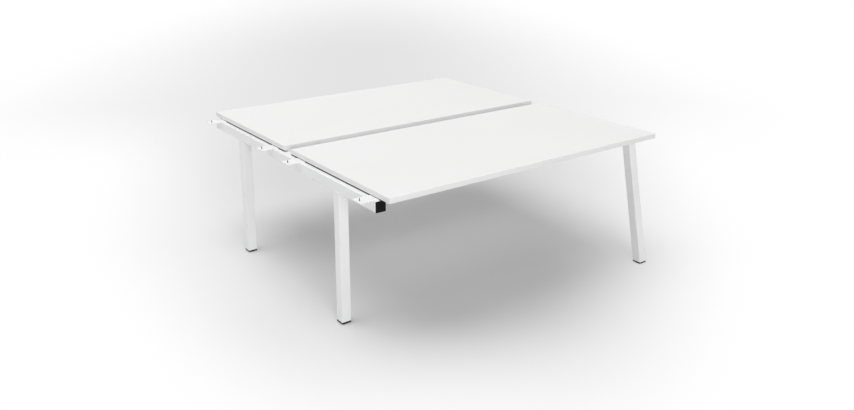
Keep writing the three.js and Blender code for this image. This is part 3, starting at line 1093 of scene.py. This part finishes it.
def seenRays(tree):
    rays = addNode(tree, "ShaderNodeLightPath")
    glossy = addMath(tree, "MAXIMUM", rays["Is Glossy Ray"], rays["Is Transmission Ray"])
    return addMath(tree, "MAXIMUM", rays["Is Camera Ray"], glossy)


def floorFinish():
    material, tree = startMaterial("paleFloor")
    tree.nodes.remove(tree.nodes["Principled BSDF"])
    place = addNode(tree, "ShaderNodeTexCoord")["Object"]
    turned = addNode(tree, "ShaderNodeMapping", {"Vector": place, "Rotation": (0, 0, -photoYaw)})[0]
    split = addNode(tree, "ShaderNodeSeparateXYZ", {0: turned})
    deep = split["X"]
    middle = scaled(tree, deep, floor["drift"])
    across = addMath(tree, "ABSOLUTE", addMath(tree, "SUBTRACT", split["Y"], middle))
    frontWidth = addMath(tree, "MULTIPLY_ADD", deep, floor["frontSpread"], floor["width"])
    backWidth = addMath(tree, "MULTIPLY_ADD", deep, floor["backSpread"], floor["width"])
    width = addMath(tree, "MAXIMUM", addMath(tree, "MINIMUM", frontWidth, backWidth), floor["narrowest"])
    wide = smoothRamp(tree, addMath(tree, "DIVIDE", across, width), *floor["sideFade"])
    near = smoothRamp(tree, scaled(tree, deep, -1.0), *floor["frontFade"])
    far = smoothRamp(tree, deep, *floor["backFade"])
    seen = seenRays(tree)
    kept = scaled(tree, lessOf(tree, wide), lessOf(tree, near))
    faded = scaled(tree, lessOf(tree, kept), seen)
    opened = scaled(tree, far, seen)
    matt = addNode(tree, "ShaderNodeBsdfDiffuse", {"Color": floor["colour"]})[0]
    white = addNode(tree, "ShaderNodeEmission", {"Color": (1, 1, 1, 1), "Strength": 1.0})[0]
    pale = addNode(tree, "ShaderNodeMixShader", {0: faded, 1: matt, 2: white})[0]
    clear = addNode(tree, "ShaderNodeBsdfTransparent")[0]
    mixed = addNode(tree, "ShaderNodeMixShader", {0: opened, 1: pale, 2: clear})[0]
    tree.links.new(mixed, tree.nodes["Material Output"].inputs["Surface"])
    return material


reach = floor["size"] / 2
corners = [(-reach, -reach, 0), (reach, -reach, 0), (reach, reach, 0), (-reach, reach, 0)]
floorMesh = bpy.data.meshes.new("floor")
floorMesh.from_pydata(corners, [], [(0, 1, 2, 3)])
floorMesh.materials.append(floorFinish())
floorPlane = addObject("floor", floorMesh)
floorPlane.location.z = -floor["drop"]

# Light: an even pale room, one broad soft lamp above and to the left, and a soft fill from far in front
# The room's backdrop is white, with a soft grey patch low behind the desk
room = {
    "strength": 0.43, "patch": 0.225, "patchYaw": 1.0172, "patchFade": (0.061, 0.174),
    "spreadFade": (0.11, 0.22), "narrowSpread": 0.22, "wideSpread": 0.55,
}


def makeRoom():
    world = bpy.data.worlds.new("room")
    scene.world = world
    world.use_nodes = True
    tree = world.node_tree
    background = tree.nodes["Background"]
    background.inputs["Color"].default_value = (1, 1, 1, 1)
    outlook = addNode(tree, "ShaderNodeTexCoord")["Generated"]
    split = addNode(tree, "ShaderNodeSeparateXYZ", {0: outlook})
    bearing = addMath(tree, "ARCTAN2", split["Y"], split["X"])
    aside = addMath(tree, "ABSOLUTE", addMath(tree, "SUBTRACT", bearing, room["patchYaw"]))
    downward = scaled(tree, split["Z"], -1.0)
    lower = addRamp(tree, downward, *room["spreadFade"])
    wider = room["wideSpread"] - room["narrowSpread"]
    spread = addMath(tree, "MULTIPLY_ADD", lower, wider, room["narrowSpread"])
    patchWide = lessOf(tree, smoothRamp(tree, aside, 0.0, spread))
    patchTall = smoothRamp(tree, downward, *room["patchFade"])
    patch = scaled(tree, patchWide, scaled(tree, patchTall, room["patch"]))
    shown = addMath(tree, "SUBTRACT", 1.0 - room["strength"], patch)
    lightShare = addMath(tree, "MULTIPLY_ADD", seenRays(tree), shown, room["strength"])
    tree.links.new(lightShare, background.inputs["Strength"])


makeRoom()
lampAim = Vector((0.0, 0.0, 0.5))
lamps = {
    "overheadLamp": {"place": (-3.2, 1.9, 14.0), "size": 12.6, "power": 1135.0},
    "frontFill": {"place": (-4.6, -11.7, 3.9), "size": 6.4, "power": 565.0},
}
for name, lamp in lamps.items():
    data = bpy.data.lights.new(name, "AREA")
    data.shape = "DISK"
    data.size = lamp["size"]
    data.energy = lamp["power"]
    lampObject = addObject(name, data)
    lampObject.location = lamp["place"]
    lampObject.rotation_euler = (lampAim - Vector(lamp["place"])).to_track_quat("-Z", "Y").to_euler()
    lampObject.visible_camera = False

# Camera at the photograph's place: looks down by the pitch, with the frame shifted a little
photoCamera = {
    "place": (-2.5903, -3.6211, 1.9175), "pitch": math.radians(14.55),
    "lens": 34.64, "sensor": 36.0, "shift": -0.10,
}
cameraData = bpy.data.cameras.new("photoCamera")
cameraData.lens = photoCamera["lens"]
cameraData.sensor_width = photoCamera["sensor"]
cameraData.shift_y = photoCamera["shift"]
camera = addObject("photoCamera", cameraData)
camera.location = photoCamera["place"]
levelShare, drop = math.cos(photoCamera["pitch"]), math.sin(photoCamera["pitch"])
sight = Vector((math.cos(photoYaw) * levelShare, math.sin(photoYaw) * levelShare, -drop))
camera.rotation_euler = sight.to_track_quat("-Z", "Y").to_euler()
scene.camera = camera
scene.view_settings.view_transform = "Standard"
print("floor, light and camera set")
